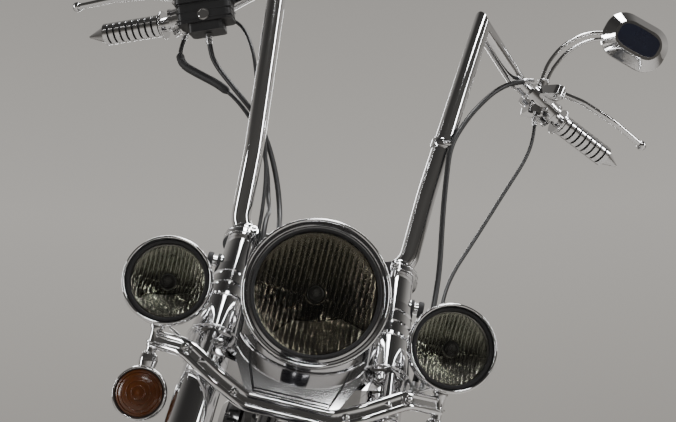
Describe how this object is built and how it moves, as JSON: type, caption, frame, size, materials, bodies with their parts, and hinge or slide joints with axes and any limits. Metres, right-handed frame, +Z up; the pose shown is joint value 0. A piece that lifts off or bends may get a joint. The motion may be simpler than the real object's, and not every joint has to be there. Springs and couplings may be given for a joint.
{
  "type": "cruiser motorcycle",
  "caption": "Large air-cooled V-twin cruiser with tall pointed handlebars, round chrome lamps on a lamp bar, laced wheels and a side stand it leans on.",
  "frame": {"origin": "middle of the bounding box's base, on the ground", "axes": "+Z up, nose to -Y, rider's left to +X; the machine leans 10 degrees to +X on its side stand and its fork is turned 8 degrees left"},
  "size_m": [1.0892, 2.3296, 1.6414],
  "materials": {
    "chrome": "mirror polished",
    "reflector": "smoked mirror",
    "clear_glass": "clear, fluted",
    "amber_lens": "gloss",
    "red_lens": "gloss",
    "bright_alloy": "polished",
    "disc_steel": "ground",
    "tyre_rubber": "matt",
    "black_paint": "gloss",
    "black_engine": "satin black",
    "black_rubber": "satin",
    "black_plastic": "gloss",
    "black_leather": "satin"
  },
  "bodies": {
    "chassis": {"frame": "black_paint", "swingarm": "black_paint", "rear_axle": "chrome", "rear_caliper": "bright_alloy", "cylinder_front": "black_engine", "cylinder_rear": "black_engine", "head_front": "black_engine", "head_rear": "black_engine", "crankcase": "black_engine", "pushrod_tubes": "chrome", "air_cleaner": "chrome", "gearbox": "bright_alloy", "primary_cover": "chrome", "drive_belt": "black_rubber", "oil_tank": "chrome", "exhaust_front": "chrome", "exhaust_rear": "chrome", "fuel_tank": "black_paint", "dash": "chrome", "seat": "black_leather", "rear_fender": "black_paint", "fender_struts": "chrome", "tail_lamp": "red_lens", "rear_signals": "chrome", "floorboards": "black_rubber"},
    "steering": {"fork_clamps": "chrome", "fork_legs": "bright_alloy", "fork_covers": "chrome", "front_axle": "chrome", "front_caliper": "bright_alloy", "headlight_shell": "chrome", "headlight_ring": "chrome", "headlight_reflector": "reflector", "headlight_lens": "clear_glass", "passing_lamps": "chrome", "passing_rings": "chrome", "passing_lenses": "clear_glass", "signal_shells": "chrome", "signal_lenses": "amber_lens", "lamp_bar": "chrome", "handlebar": "chrome", "grips": "chrome", "control_housings": "chrome", "clutch_lever": "chrome", "brake_lever": "chrome", "brake_reservoir": "black_plastic", "mirrors": "chrome", "clutch_cable": "black_rubber", "switch_wires": "black_rubber", "brake_hose": "black_rubber", "throttle_cable": "black_rubber", "front_fender": "black_paint"},
    "front_wheel_body": {"front_tyre": "tyre_rubber", "front_wheel": "bright_alloy", "front_disc": "disc_steel"},
    "rear_wheel_body": {"rear_tyre": "tyre_rubber", "rear_wheel": "bright_alloy", "rear_disc": "disc_steel", "rear_pulley": "bright_alloy"},
    "stand": {"side_stand": "chrome"}
  },
  "joints": [
    {"name": "steering", "type": "hinge", "parent": "chassis", "child": "steering", "pos_m": [-0.27074, -0.99348, -0.0018], "axis": [0.1473, 0.5285, 0.836], "range_deg": [-40, 24]},
    {"name": "front_wheel_spin", "type": "hinge", "parent": "steering", "child": "front_wheel_body", "pos_m": [-0.20906, -0.84664, 0.31227], "axis": [0.9624, 0.1184, -0.2444], "continuous": true},
    {"name": "rear_wheel_spin", "type": "hinge", "parent": "chassis", "child": "rear_wheel_body", "pos_m": [-0.21517, 0.78799, 0.31629], "axis": [0.9848, 0.0003, -0.1736], "continuous": true},
    {"name": "side_stand_swing", "type": "hinge", "parent": "chassis", "child": "stand", "pos_m": [-0.10184, -0.12676, 0.16279], "axis": [0.7216, 0.0186, 0.692], "range_deg": [0, 80]}
  ]
}
